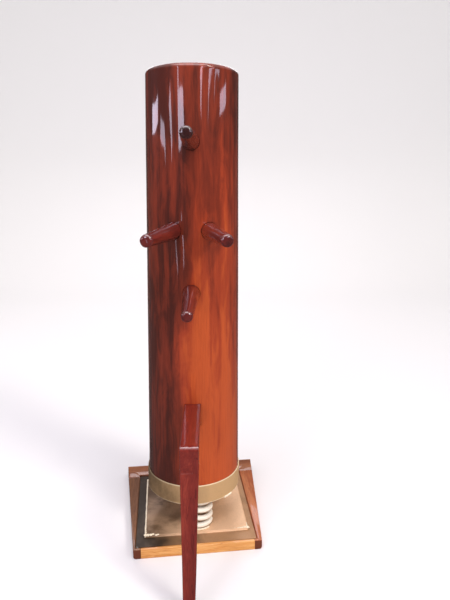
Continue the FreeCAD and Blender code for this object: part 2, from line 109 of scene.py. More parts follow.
class Nodes:
    """A shader tree, and the helpers that add nodes to it."""

    def __init__(self, tree):
        self.tree = tree

    def link(self, socket, value):
        """Gives a socket another node's output or a plain value."""
        if isinstance(value, bpy.types.NodeSocket):
            self.tree.links.new(value, socket)
        else:
            socket.default_value = value

    def node(self, kind, inputs, **settings):
        made = self.tree.nodes.new("ShaderNode" + kind)
        for name, value in settings.items():
            setattr(made, name, value)
        for name, value in inputs.items():
            self.link(made.inputs[name], value)
        return made


class Paint(Nodes):
    """One material and the helpers that build its nodes."""

    def __init__(self, name, **inputs):
        self.material = bpy.data.materials.new(name)
        self.material.use_nodes = True
        super().__init__(self.material.node_tree)
        self.surface = self.tree.nodes["Principled BSDF"]
        self.put(**inputs)

    def put(self, **inputs):
        """Sets the main shader's sockets: base_color=..., coat_weight=... and so on."""
        names = {socket.name.lower().replace(" ", "_"): socket for socket in self.surface.inputs}
        for name, value in inputs.items():
            self.link(names[name], value)

    def place(self, stretch=(1, 1, 1), turn=0.0):
        """Object coordinates, turned about Z and then stretched along each axis."""
        at = self.node("TexCoord", {}).outputs["Object"]
        inputs = {"Vector": at, "Rotation": (0, 0, turn), "Scale": stretch}
        return self.node("Mapping", inputs, vector_type="TEXTURE").outputs["Vector"]

    def noise(self, at, scale, detail, rough, bend=0.0):
        inputs = {"Vector": at, "Scale": scale, "Detail": detail, "Roughness": rough}
        inputs["Distortion"] = bend
        return self.node("TexNoise", inputs).outputs["Fac"]

    def axis(self, at, name):
        return self.node("SeparateXYZ", {"Vector": at}).outputs[name]

    def span(self, value, low, high, out_low=0.0, out_high=1.0):
        """A value mapped from low...high to out_low...out_high, kept inside."""
        inputs = {"Value": value, "From Min": low, "From Max": high}
        inputs.update({"To Min": out_low, "To Max": out_high})
        return self.node("MapRange", inputs, interpolation_type="SMOOTHSTEP").outputs["Result"]

    def sum(self, first, second, operation="ADD"):
        made = self.tree.nodes.new("ShaderNodeMath")
        made.operation = operation
        self.link(made.inputs[0], first)
        self.link(made.inputs[1], second)
        return made.outputs[0]

    def mix(self, factor, first, second, blend="MIX"):
        made = self.tree.nodes.new("ShaderNodeMix")
        made.data_type = "RGBA"
        made.blend_type = blend
        self.link(made.inputs[0], factor)
        self.link(made.inputs[6], first)
        self.link(made.inputs[7], second)
        return made.outputs[2]

    def facing(self, name, turn=0.0):
        """How far the surface faces along one axis of the turned object."""
        inputs = {"Vector": self.node("TexCoord", {}).outputs["Normal"], "Rotation": (0, 0, -turn)}
        normal = self.node("Mapping", inputs, vector_type="NORMAL").outputs["Vector"]
        return self.sum(self.axis(normal, name), 0.0, "ABSOLUTE")

    def bump(self, *heights):
        """Bumps one over another; each is a height socket and its depth in metres."""
        normal = None
        for height, depth in heights:
            inputs = {"Height": height, "Distance": depth}
            if normal:
                inputs["Normal"] = normal
            normal = self.node("Bump", inputs).outputs["Normal"]
        self.put(normal=normal)


def grain_axes(along, stretch):
    """A stretch along the grain's axis only."""
    return tuple(stretch if letter == along else 1 for letter in "XYZ")


def wood(name, dark, middle, light, along, turn=0.0, end=None, coat=1.0, rough=0.42, ior=1.5):
    """Varnished wood with its grain along one axis; end is the colour of its end grain."""
    paint = Paint(name)
    at = paint.place(grain_axes(along, 14), turn)
    broad = paint.noise(at, 16, 3, 0.55, 0.4)
    lines = paint.noise(at, 150, 5, 0.6, 1.2)
    pores = paint.noise(at, 520, 2, 0.6)
    value = paint.sum(paint.sum(broad, 0.55, "MULTIPLY"), paint.sum(lines, 0.45, "MULTIPLY"))
    colour = paint.mix(paint.span(value, 0.36, 0.52), dark, middle)
    colour = paint.mix(paint.span(value, 0.5, 0.66), colour, light)
    colour = paint.mix(paint.span(pores, 0.32, 0.44, 0.35, 0.0), colour, dark, "MULTIPLY")
    if end:
        colour = paint.mix(paint.span(paint.facing(along, turn), 0.75, 0.95), colour, end)
    paint.put(base_color=colour, roughness=rough, specular_ior_level=0.2)
    paint.put(coat_weight=coat, coat_ior=ior, coat_roughness=0.07)
    paint.bump((lines, 0.12 * MM), (pores, 0.06 * MM))
    return paint.material


def log_lacquer():
    """Deep gloss over an unevenly stained burgundy, with painted light that turns it orange low on the
    right and fades towards the top and the left, and painted shade at the right edge.
    """
    paint = Paint("log_lacquer")
    still = paint.place()
    at = paint.place((1, 1, 5))
    long = paint.place((1, 1, 30))
    cloud = paint.noise(at, 12, 4, 0.6, 0.8)
    mottle = paint.noise(at, 30, 4, 0.6, 1.4)
    streak = paint.noise(long, 42, 4, 0.6, 0.5)
    fibre = paint.noise(long, 330, 4, 0.65)
    across = paint.axis(still, "X")
    # painted light: lighter and more orange low on the right, fading towards the left; the height
    # factor below fades it towards the top
    light_from_right = paint.span(across, -0.095, 0.035)
    level = paint.span(paint.axis(still, "Z"), 0.3, 1.45, 1.0, 0.36)
    stain_and_light = paint.sum(paint.sum(light_from_right, level, "MULTIPLY"), 0.02)
    for uneven in (
        paint.span(cloud, 0.3, 0.7, -0.24, 0.2),
        # painted shade: darker towards the right edge
        paint.span(across, 0.1, 0.15, 0.0, -0.25),
        paint.span(mottle, 0.3, 0.7, -0.12, 0.12),
        paint.span(streak, 0.3, 0.7, -0.14, 0.14),
    ):
        stain_and_light = paint.sum(stain_and_light, uneven)
    colour = paint.mix(paint.span(stain_and_light, -0.1, 0.35), srgb(74, 26, 14), srgb(124, 44, 22))
    colour = paint.mix(paint.span(stain_and_light, 0.3, 0.68), colour, srgb(162, 60, 28))
    colour = paint.mix(paint.span(stain_and_light, 0.62, 1.05), colour, srgb(190, 82, 35))
    colour = paint.mix(paint.span(fibre, 0.35, 0.62, 0.14, 0.0), colour, srgb(70, 16, 10))
    rings = paint.node(
        "TexWave",
        {"Vector": still, "Scale": 26.0, "Distortion": 1.6, "Detail": 3.0, "Detail Scale": 2.0},
        wave_type="RINGS",
        rings_direction="Z",
    )
    ringed = paint.mix(rings.outputs["Fac"], srgb(70, 24, 16), srgb(132, 56, 34))
    colour = paint.mix(paint.span(paint.facing("Z"), 0.8, 0.97), colour, ringed)
    paint.put(base_color=colour, roughness=0.5, specular_ior_level=0.15)
    paint.put(coat_weight=1.0, coat_ior=1.5, coat_roughness=0.05)
    paint.bump((streak, 0.4 * MM), (fibre, 0.04 * MM))
    return paint.material


def enamel(name, colour, dark, metallic, rough, grime, painted_side_shade=(0.0, 0.0), under=0.0, worn=None):
    """Sprayed metallic enamel with uneven gloss and grime, and painted light and shade.

    The pair given for the sides adds painted shade at the left and painted light at the right end,
    under adds painted shade on faces that look down, and worn is the pair of heights whose
    edges get a painted pale highlight, stronger on the right.
    """
    paint = Paint(name)
    still = paint.place()
    cloud = paint.noise(still, 11, 4, 0.6, 0.3)
    speck = paint.noise(still, 420, 3, 0.6)
    orange_peel = paint.noise(still, 170, 2, 0.5)
    dirt_and_shade = paint.span(cloud, 0.35, 0.68, 0.0, grime)
    # painted shade at the left and painted light at the right end
    dirt_and_shade = paint.sum(dirt_and_shade, paint.span(paint.axis(still, "X"), -0.16, 0.1, *painted_side_shade))
    below = paint.axis(paint.node("TexCoord", {}).outputs["Normal"], "Z")
    # painted shade on faces that look down
    dirt_and_shade = paint.sum(dirt_and_shade, paint.span(below, -0.75, 0.1, under, 0.0))
    tint = paint.mix(paint.span(dirt_and_shade, 0.0, 1.0), colour, dark)
    tint = paint.mix(paint.span(speck, 0.3, 0.42, 0.3, 0.0), tint, dark)
    # painted highlight: a pale line along the band's top and bottom lips, brighter towards the right
    if worn:
        above = paint.sum(paint.axis(still, "Z"), sum(worn) / 2, "SUBTRACT")
        off = paint.sum(above, 0.0, "ABSOLUTE")
        half = (worn[1] - worn[0]) / 2
        bright = paint.span(paint.axis(still, "X"), -0.15, 0.06, 0.15, 0.75)
        lip = paint.sum(paint.span(off, half - 3.4 * MM, half - 1.6 * MM), bright, "MULTIPLY")
        tint = paint.mix(lip, tint, srgb(250, 234, 196))
    gloss = paint.span(cloud, 0.3, 0.7, rough - 0.08, rough + 0.14)
    paint.put(base_color=tint, metallic=metallic, roughness=gloss, specular_ior_level=0.3)
    paint.bump((cloud, 0.5 * MM), (orange_peel, 0.08 * MM))
    return paint.material


def bare_steel(name, colour, rough):
    """Unpainted steel with uneven gloss."""
    paint = Paint(name, metallic=1.0)
    still = paint.place()
    cloud = paint.noise(still, 60, 4, 0.6)
    paint.put(base_color=paint.mix(paint.span(cloud, 0.3, 0.7), colour, srgb(92, 90, 88)))
    paint.put(roughness=paint.span(cloud, 0.3, 0.7, rough, rough + 0.2))
    paint.bump((cloud, 0.1 * MM))
    return paint.material


# each wood's dark, middle and light colour
ARM = (srgb(60, 14, 14), srgb(94, 26, 22), srgb(118, 38, 30))
# painted shade: the head peg's palette is a darker copy of the arms' wood
PEG_SHADED = (srgb(34, 10, 10), srgb(54, 18, 15), srgb(72, 26, 22))
LEG = (srgb(92, 18, 14), srgb(120, 32, 22), srgb(144, 50, 34))
# one wood for all four boards in lit and shaded copies: painted light on the front board, painted
# shade on the back, left and right boards
BACK_SHADED = (srgb(120, 62, 32), srgb(156, 94, 54), srgb(182, 120, 74))
FRONT_LIT = (srgb(176, 100, 40), srgb(222, 150, 78), srgb(240, 182, 112))
LEFT_SHADED = (srgb(94, 56, 34), srgb(126, 82, 52), srgb(154, 106, 68))
RIGHT_SHADED = (srgb(126, 58, 28), srgb(168, 88, 46), srgb(198, 122, 72))
DOWEL = (srgb(120, 82, 48), srgb(164, 120, 76), srgb(192, 152, 104))
END_GRAIN = srgb(112, 58, 36)

PAINTS = {
    "log": log_lacquer(),
    "arm": wood("arm_lacquer", *ARM, along="Y", rough=0.35, ior=1.75),
    "peg": wood("peg_lacquer", *PEG_SHADED, along="Y", rough=0.35, ior=1.75),
    "thigh": wood("thigh_lacquer", *LEG, along="Y", rough=0.38, ior=1.75),
    "shin": wood("shin_lacquer", *LEG, along="Z", rough=0.38, ior=1.75),
    "front": wood("front_board", *FRONT_LIT, "X", TURN, END_GRAIN),
    "back": wood("back_board", *BACK_SHADED, "X", TURN, END_GRAIN, coat=0.6),
    "left": wood("left_board", *LEFT_SHADED, "Y", TURN, END_GRAIN, coat=0.6),
    "right": wood("right_board", *RIGHT_SHADED, "Y", TURN, END_GRAIN, coat=0.5),
    "dowel": wood("dowel_wood", *DOWEL, along="X", coat=0.0, rough=0.7),
    "band": enamel(
        "band_enamel",
        srgb(206, 168, 120),
        srgb(98, 78, 50),
        metallic=0.15,
        rough=0.4,
        grime=0.25,
        # painted shade on the left, painted light at the right end
        painted_side_shade=(0.72, -0.12),
        # painted highlight on the top and bottom lips
        worn=[corner.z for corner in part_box("steel_band")],
    ),
    "spring": enamel(
        "spring_enamel",
        srgb(252, 244, 226),
        srgb(150, 118, 78),
        metallic=0.0,
        rough=0.32,
        grime=0.12,
        # painted shade under the coils
        under=0.9,
    ),
    "plate": enamel(
        "plate_enamel",
        srgb(238, 198, 158),
        srgb(88, 64, 42),
        metallic=0.25,
        rough=0.36,
        grime=0.32,
        # painted shade on the left, painted light at the right end
        painted_side_shade=(0.66, -0.12),
    ),
    "sheet": enamel(
        "sheet_enamel",
        srgb(176, 136, 98),
        srgb(54, 42, 30),
        metallic=0.2,
        rough=0.4,
        grime=0.4,
        # painted shade on the left, painted light at the right end
        painted_side_shade=(0.85, -0.1),
    ),
    "weld": enamel(
        "weld_enamel",
        srgb(250, 236, 208),
        srgb(214, 190, 150),
        metallic=0.05,
        rough=0.28,
        grime=0.3,
    ),
    "zinc": bare_steel("zinc_screws", srgb(206, 204, 196), 0.28),
    "steel": bare_steel("raw_steel", srgb(128, 124, 120), 0.4),
}


# ---------------------------------------------------------------- building shapes


class Shape:
    """Points and faces of one piece, made of lofts through rings of points."""

    def __init__(self):
        self.points = []
        self.faces = []

    def loft(self, rings, loop=False):
        """Joins rings of equal count in turn; loop joins the last to the first."""
        count = len(rings[0])
        start = len(self.points)
        for ring in rings:
            self.points.extend(ring)
        steps = len(rings) if loop else len(rings) - 1
        for step in range(steps):
            low = start + step * count
            high = start + (step + 1) % len(rings) * count
            for index in range(count):
                after = (index + 1) % count
                self.faces.append((low + index, low + after, high + after, high + index))
        if not loop:
            last = start + (len(rings) - 1) * count
            self.faces.append(tuple(start + index for index in reversed(range(count))))
            self.faces.append(tuple(last + index for index in range(count)))
        return self

    def make(self, name, paint, smooth=40):
        """The piece as an object, with edges sharper than smooth degrees kept crisp."""
        mesh = bpy.data.meshes.new(name)
        mesh.from_pydata([tuple(point) for point in self.points], [], self.faces)
        mesh.materials.append(PAINTS[paint])
        piece = bpy.data.objects.new(name, mesh)
        bpy.context.scene.collection.objects.link(piece)
        shade(piece, smooth)
        return piece


def shade(piece, smooth):
    """Smooth faces with sharp edges where the surface turns more than smooth degrees."""
    work = bmesh.new()
    work.from_mesh(piece.data)
    bmesh.ops.recalc_face_normals(work, faces=work.faces)
    for face in work.faces:
        face.smooth = True
    for edge in work.edges:
        edge.smooth = edge.calc_face_angle(math.pi) < math.radians(smooth)
    work.to_mesh(piece.data)
    work.free()


def frame_along(origin, direction):
    """Axes at origin with +Z along a level direction and +Y up."""
    out = Vector(direction).normalized()
    up = Vector((0, 0, 1))
    side = up.cross(out)
    turned = Matrix((side, up, out)).transposed().to_4x4()
    return Matrix.Translation(Vector(origin)) @ turned


def circle(radius, height, placement, segments, wobble, seed):
    """A ring of points about the placement's Z axis."""
    ring = []
    for index in range(segments):
        angle = 2 * math.pi * index / segments
        spot = Vector((math.cos(angle), math.sin(angle), height * 9 + seed))
        reach = radius + wobble * noise.noise(spot * 1.7)
        ring.append(placement @ Vector((reach * spot.x, reach * spot.y, height)))
    return ring


def rounded(placement, height, low, high, corner, wobble=0.0, seed=0.0, steps=6):
    """A ring in the shape of a rectangle with round corners, in the placement's XY plane."""
    ring = []
    for turn, (right, upper) in enumerate([(1, 1), (0, 1), (0, 0), (1, 0)]):
        x = high[0] - corner if right else low[0] + corner
        y = high[1] - corner if upper else low[1] + corner
        for step in range(steps + 1):
            angle = math.pi / 2 * (turn + step / steps)
            point = Vector((x + corner * math.cos(angle), y + corner * math.sin(angle), height))
            if wobble:
                spot = Vector((point.x * 25, point.y * 25, height * 11 + seed))
                point.x += wobble * noise.noise(spot)
                point.y += wobble * noise.noise(spot + Vector((7, 3, 5)))
            ring.append(placement @ point)
    return ring


def bar(
    shape,
    placement,
    start,
    end,
    edge,
    corner,
    count=2,
    wobble=0.0,
    seed=0.0,
    foot=None,
    low_by=(1, 1),
    high_by=(1, 1),
):
    """A bar along the placement's Z; start and end are (height, low, high).

    Its far end is rounded by edge and its near end by foot; low_by and high_by say how much
    of that rounding each side takes.
    """
    foot = edge if foot is None else foot
    length = end[0] - start[0]
    rings = []

    def ring(share, inset):
        low = [a + (b - a) * share + inset * by for a, b, by in zip(start[1], end[1], low_by)]
        high = [a + (b - a) * share - inset * by for a, b, by in zip(start[2], end[2], high_by)]
        height = start[0] + length * share
        round_by = max(corner - inset, 0.2 * MM)
        rings.append(rounded(placement, height, low, high, round_by, wobble, seed))

    turns = [math.pi / 2 * step / 6 for step in range(7)]
    for turn in turns:
        ring(foot * (1 - math.cos(turn)) / length, foot * (1 - math.sin(turn)))
    for step in range(1, count):
        near = foot / length
        ring(near + (1 - near - edge / length) * step / count, 0)
    for turn in reversed(turns):
        ring(1 - edge * (1 - math.cos(turn)) / length, edge * (1 - math.sin(turn)))
    shape.loft(rings)


def lathe(shape, profile, placement, segments, wobble=0.0, seed=0.0):
    """A turned form: profile is (radius, height) along the placement's Z."""
    rings = [circle(r, h, placement, segments, wobble, seed) for r, h in profile]
    return shape.loft(rings)


def tube(shape, path, radii, outward, segments):
    """A round tube along a path, with a radius and a direction across the path for each point."""
    rings = []
    for index, point in enumerate(path):
        ahead = path[min(index + 1, len(path) - 1)]
        behind = path[max(index - 1, 0)]
        along = (ahead - behind).normalized()
        side = outward[index]
        side = (side - along * side.dot(along)).normalized()
        up = along.cross(side)
        ring = []
        for step in range(segments):
            angle = 2 * math.pi * step / segments
            ring.append(point + (side * math.cos(angle) + up * math.sin(angle)) * radii[index])
        rings.append(ring)
    return shape.loft(rings)


def blob(shape, centre, size, seed):
    """A small uneven lump, as weld metal leaves."""
    rows, columns = 8, 14
    rings = []
    for row in range(1, rows):
        polar = math.pi * row / rows
        ring = []
        for column in range(columns):
            turn = 2 * math.pi * column / columns
            girth = math.sin(polar)
            way = Vector((girth * math.cos(turn), girth * math.sin(turn), math.cos(polar)))
            swell = 1 + 0.35 * noise.noise(way * 1.6 + Vector((seed, seed * 2, 0)))
            ring.append(centre + Vector([way[i] * size[i] * swell for i in range(3)]))
        rings.append(ring)
    shape.loft(rings)


def apply_modifiers(piece):
    """Turns the piece's modifiers into its mesh."""
    graph = bpy.context.evaluated_depsgraph_get()
    mesh = bpy.data.meshes.new_from_object(piece.evaluated_get(graph))
    piece.modifiers.clear()
    piece.data = mesh


def carve(piece, cutters, smooth=40):
    """Takes the cutters out of the piece for good."""
    for cutter in cutters:
        cut = piece.modifiers.new("cut", "BOOLEAN")
        cut.object = cutter
        cut.operation = "DIFFERENCE"
        cut.solver = "EXACT"
    apply_modifiers(piece)
    for cutter in cutters:
        bpy.data.objects.remove(cutter)
    shade(piece, smooth)


def soften(piece, width):
    """Rounds the piece's sharp edges."""
    bevel = piece.modifiers.new("edges", "BEVEL")
    bevel.width = width
    bevel.segments = 3
    bevel.limit_method = "ANGLE"
    bevel.angle_limit = math.radians(40)
    apply_modifiers(piece)
    shade(piece, 50)


def install(piece, node):
    """The piece stands for this node and rides with its body."""
    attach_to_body(piece, BODY[node])
    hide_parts(node)


def attach(piece, node):
    """An extra piece that stands for no node of its own; it rides with this node's body."""
    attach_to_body(piece, BODY[node])


def round_pin(across, half, radius, edge, wobble, seed):
    """A dowel's shape along the placement's Z, with both ends taken off by edge."""
    profile = [(radius - edge, -half), (radius, edge - half), (radius, 0)]
    profile += [(radius, half - edge), (radius - edge, half)]
    return lathe(Shape(), profile, across, 40, wobble, seed)


# ---------------------------------------------------------------- arms and head peg


class Arm:
    """An arm's measures, read from its CAD node; local +Z points out along the arm."""

    def __init__(self, node, joint):
        self.node = node
        self.place = frame_along(JOINT[joint]["pos_m"], JOINT[joint]["axis"])
        points = local_points(node, self.place)
        outer = [p for p in points if p.z > -1 * MM]
        tail = [p for p in points if p.z < -20 * MM]
        self.reach = max(p.z for p in outer)
        self.root = max(math.hypot(p.x, p.y) for p in outer if p.z < 1 * MM)
        self.tip = max(math.hypot(p.x, p.y) for p in outer if p.z > self.reach - 6 * MM)
        self.low, self.high = extent(tail)
        pin = local_points(f"{node}_pin", self.place)
        self.pin_low, self.pin_high = extent(pin)

    def profile(self):
        """The turned part's outline: a cone from the log to a rounded, slightly domed tip."""
        edge = 8 * MM
        chamfer = 1 * MM
        steps = 40
        outline = [(self.root - chamfer, 0), (self.root, chamfer)]
        for step in range(1, steps + 1):
            share = step / steps
            radius = self.root + (self.tip - self.root) * share
            outline.append((radius, chamfer + (self.reach - edge - chamfer) * share))
        for step in range(1, 7):
            angle = math.pi / 2 * step / 6
            height = self.reach - edge + edge * math.sin(angle)
            outline.append((self.tip - edge + edge * math.cos(angle), height))
        outline.append((self.tip * 0.5, self.reach + 0.1 * MM))
        outline.append((self.tip * 0.1, self.reach + 0.2 * MM))
        return outline

    def build(self, seed):
        """The turned part and its square tail as one piece, and the pin."""
        shape = Shape()
        lathe(shape, self.profile(), self.place, 96, 0.5 * MM, seed)
        low, high = self.low, self.high
        start = (low.z, low.to_2d(), high.to_2d())
        end = (2 * MM, low.to_2d(), high.to_2d())
        bar(shape, self.place, start, end, 1.5 * MM, 1.2 * MM, 24, 0.15 * MM, seed)
        paint = "peg" if self.node == "head_peg" else "arm"
        install(shape.make(f"{self.node}_turned", paint), self.node)
        self.build_pin()

    def build_pin(self):
        """The pin through the tail."""
        middle = (self.pin_low + self.pin_high) / 2
        half = (self.pin_high.x - self.pin_low.x) / 2
        radius = (self.pin_high.y - self.pin_low.y) / 2
        across = self.place @ Matrix.Translation(middle) @ Matrix.Rotation(math.pi / 2, 4, "Y")
        shape = round_pin(across, half, radius, 1.5 * MM, 0.3 * MM, half)
        install(shape.make(f"{self.node}_pin_round", "dowel"), f"{self.node}_pin")

    def cutters(self):
        """The seat and the mortise that the arm needs in the log."""
        gap = 0.15 * MM
        seat = Shape()
        levels = (-0.2 * MM, 60 * MM)
        lathe(seat, [(self.root + gap, z) for z in levels], self.place, 96)
        mortise = Shape()
        low = self.low.to_2d() - Vector((gap, gap))
        high = self.high.to_2d() + Vector((gap, gap))
        levels = (self.low.z - 20 * MM, 1 * MM)
        mortise.loft([rounded(self.place, z, low, high, 0.5 * MM) for z in levels])
        return [seat.make("seat_cutter", "log"), mortise.make("mortise_cutter", "log")]


ARMS = [
    Arm("head_peg", "head_peg_slide"),
    Arm("left_arm", "left_arm_slide"),
    Arm("right_arm", "right_arm_slide"),
    Arm("lower_arm", "lower_arm_slide"),
]


# ---------------------------------------------------------------- the leg


def leg_frame():
    """Axes on the leg's axis at the log, with +Z out along the thigh and +Y up."""
    return frame_along(JOINT["leg_slide"]["pos_m"], (0, -1, 0))


def leg_measures():
    """The thigh's bar and tenon, in the leg's own axes."""
    points = local_points("leg_thigh", leg_frame())
    bar_low, bar_high = extent([p for p in points if p.z > -0.2 * MM])
    tail_low, tail_high = extent([p for p in points if p.z < -20 * MM])
    return bar_low, bar_high, tail_low, tail_high


def build_leg():
    """The thigh with its tail, the shin with its tongue up into the knee, and both dowels."""
    place = leg_frame()
    bar_low, bar_high, tail_low, tail_high = leg_measures()
    thigh = Shape()
    start = (0, bar_low.to_2d(), bar_high.to_2d())
    end = (bar_high.z, bar_low.to_2d(), bar_high.to_2d())
    sides = {"low_by": (0.2, 0.02), "high_by": (0.2, 1)}
    bar(thigh, place, start, end, 12 * MM, 3.5 * MM, 40, 0.7 * MM, foot=0.5 * MM, **sides)
    start = (tail_low.z, tail_low.to_2d(), tail_high.to_2d())
    end = (1 * MM, tail_low.to_2d(), tail_high.to_2d())
    bar(thigh, place, start, end, 2 * MM, 2 * MM, 24, 0.2 * MM)
    thigh_piece = thigh.make("leg_thigh_bar", "thigh")

    points = points_of("leg_shin")
    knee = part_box("leg_thigh")[0].z
    tenon_low, tenon_high = extent([p for p in points if p.z > knee + 1 * MM])
    top_low, top_high = extent([p for p in points if abs(p.z - knee) < 0.5 * MM])
    foot_z = min(p.z for p in points)
    foot_low, foot_high = extent([p for p in points if p.z < foot_z + 0.5 * MM])
    shin = Shape()
    start = (foot_z, foot_low.to_2d(), foot_high.to_2d())
    end = (knee - 0.15 * MM, top_low.to_2d(), top_high.to_2d())
    bar(shin, Matrix(), start, end, 1.2 * MM, 3.2 * MM, 60, 0.5 * MM, 4.0)
    low = tenon_low.to_2d()
    high = tenon_high.to_2d()
    bar(shin, Matrix(), (knee - 5 * MM, low, high), (tenon_high.z, low, high), 0.5 * MM, 0.5 * MM)
    install(shin.make("leg_shin_bar", "shin"), "leg_shin")

    # the knee's hollow runs past the tongue, about 8 mm in front and 3 mm on its right
    gap = Vector((0.15 * MM, 0.15 * MM))
    hollow_low = low - gap - Vector((0, 8 * MM))
    hollow_high = high + gap + Vector((3 * MM, 0))
    heights = (knee - 10 * MM, tenon_high.z + 0.15 * MM)
    hollow = Shape()
    hollow.loft([rounded(Matrix(), z, hollow_low, hollow_high, 0.3 * MM) for z in heights])
    carve(thigh_piece, [hollow.make("knee_cutter", "thigh")])
    install(thigh_piece, "leg_thigh")
    build_round_pin("knee_dowel", 0.4 * MM)
    build_round_pin("leg_pin", 0.0)


def build_round_pin(node, proud):
    """A dowel that lies along X, standing proud of its CAD node by this much at both ends."""
    low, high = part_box(node)
    middle = (low + high) / 2
    half = (high.x - low.x) / 2 + proud
    radius = (high.z - low.z) / 2
    across = Matrix.Translation(middle) @ Matrix.Rotation(math.pi / 2, 4, "Y")
    edge = 0.4 * MM if proud else 1.5 * MM
    shape = round_pin(across, half, radius, edge, 0.2 * MM, 3.0)
    install(shape.make(f"{node}_round", "dowel"), node)


def leg_cutters():
    """The square seat and the mortise that the leg needs in the log."""
    place = leg_frame()
    bar_low, bar_high, tail_low, tail_high = leg_measures()
    gap = Vector((0.5 * MM, 0.5 * MM))
    seat = Shape()
    low, high = bar_low.to_2d() - gap, bar_high.to_2d() + gap
    seat.loft([rounded(place, z, low, high, 3 * MM) for z in (-0.2 * MM, 60 * MM)])
    mortise = Shape()
    low, high = tail_low.to_2d() - gap, tail_high.to_2d() + gap
    mortise.loft([rounded(place, z, low, high, 1.5 * MM) for z in (tail_low.z - 20 * MM, 1 * MM)])
    return [seat.make("leg_seat_cutter", "log"), mortise.make("leg_mortise_cutter", "log")]


# ---------------------------------------------------------------- the log

FLATS = 41  # planed flats round the log
COLUMNS = 480
ROWS = 300
RIM = 14 * MM  # radius of the rounded top edge
CROWN = 0.2 * MM  # how far the top rises towards its middle


def planed(angle, height, radius, calm):
    """The log's radius at a point: long uneven flats left by the plane, and a slow waviness."""
    way = Vector((math.cos(angle), math.sin(angle), 0))
    wander = 0.16 * noise.noise(way * 1.9 + Vector((0, 0, height * 0.9)))
    wander += 0.05 * noise.noise(way * 4.5 + Vector((3, 0, height * 3.1)))
    place = (angle + wander) * FLATS / (2 * math.pi)
    off = (place - math.floor(place) - 0.5) * 2 * math.pi / FLATS
    flat = radius * math.cos(math.pi / FLATS) / math.cos(off)
    worn = 0.62 + 0.3 * noise.noise(way * 5 + Vector((9, 0, height * 2.0)))
    depth = (radius - flat) * worn
    swell = noise.noise(way * 3.4 + Vector((0, 5, height * 2.3)))
    ripple = noise.noise(way * 9 + Vector((2, 5, height * 7.0)))
    depth += 0.5 * MM * (1 + swell) + 0.14 * MM * (1 + ripple)
    return radius - depth * calm


def level_ring(angles, reaches, height):
    """A level ring of points, with a reach for each angle."""
    ring = []
    for angle, reach in zip(angles, reaches):
        ring.append(Vector((reach * math.cos(angle), reach * math.sin(angle), height)))
    return ring


def build_log():
    """The planed log with a rounded rim and a slightly domed top, calmer where the band is."""
    low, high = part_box("trunk")
    radius = (high.x - low.x) / 2
    band_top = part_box("steel_band")[1].z
    angles = [2 * math.pi * column / COLUMNS for column in range(COLUMNS)]
    levels = []
    for row in range(ROWS + 1):
        levels.append((low.z + (high.z - RIM - low.z) * row / ROWS, 0))
    for step in range(1, 9):
        angle = math.pi / 2 * step / 8
        height = high.z - RIM + RIM * math.sin(angle) - CROWN
        levels.append((height, RIM * (1 - math.cos(angle))))
    rings = []
    for height, inset in levels:
        calm = 0.35 + 0.65 * min(max((height - band_top) / (50 * MM), 0), 1)
        reaches = [planed(angle, height, radius, calm) - inset for angle in angles]
        rings.append(level_ring(angles, reaches, height))
    for share in (0.9, 0.75, 0.55, 0.35, 0.15, 0.02):
        reaches = [(radius - RIM) * share] * COLUMNS
        rings.append(level_ring(angles, reaches, high.z - CROWN + CROWN * (1 - share)))
    log = Shape().loft(rings).make("log_planed", "log", 60)
    cutters = [cutter for arm in ARMS for cutter in arm.cutters()] + leg_cutters()
    carve(log, cutters, 50)
    install(log, "trunk")


def band_profile(inner, outer, low, high):
    """The band's section, (radius, height), with soft corners and points up its walls."""
    edge = 1.1 * MM
    parts = 12
    corners = [(inner, low, 2), (outer, low, 3), (outer, high, 0), (inner, high, 1)]
    profile = []
    for r, z, quarter in corners:
        centre_r = r + edge if r == inner else r - edge
        centre_z = z + edge if z == low else z - edge
        for step in range(6):
            angle = math.pi / 2 * (quarter + step / 5)
            profile.append((centre_r + edge * math.cos(angle), centre_z + edge * math.sin(angle)))
        if quarter in (3, 1):
            step_z = (high - low) / parts * (1 if quarter == 3 else -1)
            profile += [(r, z + step_z * k) for k in range(1, parts)]
    return profile


def build_band():
    """The rolled band: soft edges and a slightly uneven wall and lower lip."""
    low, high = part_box("steel_band")
    cup_low, cup_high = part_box("cup_plate")
    outer = (high.x - low.x) / 2
    inner = (cup_high.x - cup_low.x) / 2
    profile = band_profile(inner, outer, low.z, high.z)
    columns = 360
    rings = []
    for index in range(columns):
        turn = 2 * math.pi * index / columns
        way = Vector((math.cos(turn), math.sin(turn), 0))
        dent = 0.35 * MM * noise.noise(way * 3 + Vector((0, 0, 2)))
        sag = 0.5 * MM * noise.noise(way * 6 + Vector((0, 0, 4)))
        ring = []
        for r, z in profile:
            lip = sag if z < low.z + 10 * MM else 0
            ring.append(Vector((way.x * (r + dent), way.y * (r + dent), z + lip)))
        rings.append(ring)
    shape = Shape().loft(rings, loop=True)
    install(shape.make("steel_band_rolled", "band"), "steel_band")


def build_band_bead():
    """The short weld at the band's foot, where it holds the plate under the log."""
    low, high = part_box("steel_band")
    outer = (high.x - low.x) / 2
    start, end = math.radians(41), math.radians(53)
    steps = 24
    path, radii = [], []
    for k in range(steps + 1):
        turn = start + (end - start) * k / steps
        path.append(Vector((outer * math.sin(turn), -outer * math.cos(turn), low.z + 0.2 * MM)))
        uneven = 0.5 * math.sin(k * 1.9) + 0.8 * noise.noise(Vector((k * 0.4, 0, 0)))
        radii.append((3.0 + uneven) * MM)
    outward = [Vector((point.x, point.y, 0)) for point in path]
    bead = tube(Shape(), path, radii, outward, 14)
    attach(bead.make("band_weld_bead", "weld"), "steel_band")


# ---------------------------------------------------------------- springs

FLAT_TURNS = 0.3
ACTIVE_TURNS = 3.24
STEPS_PER_TURN = 64


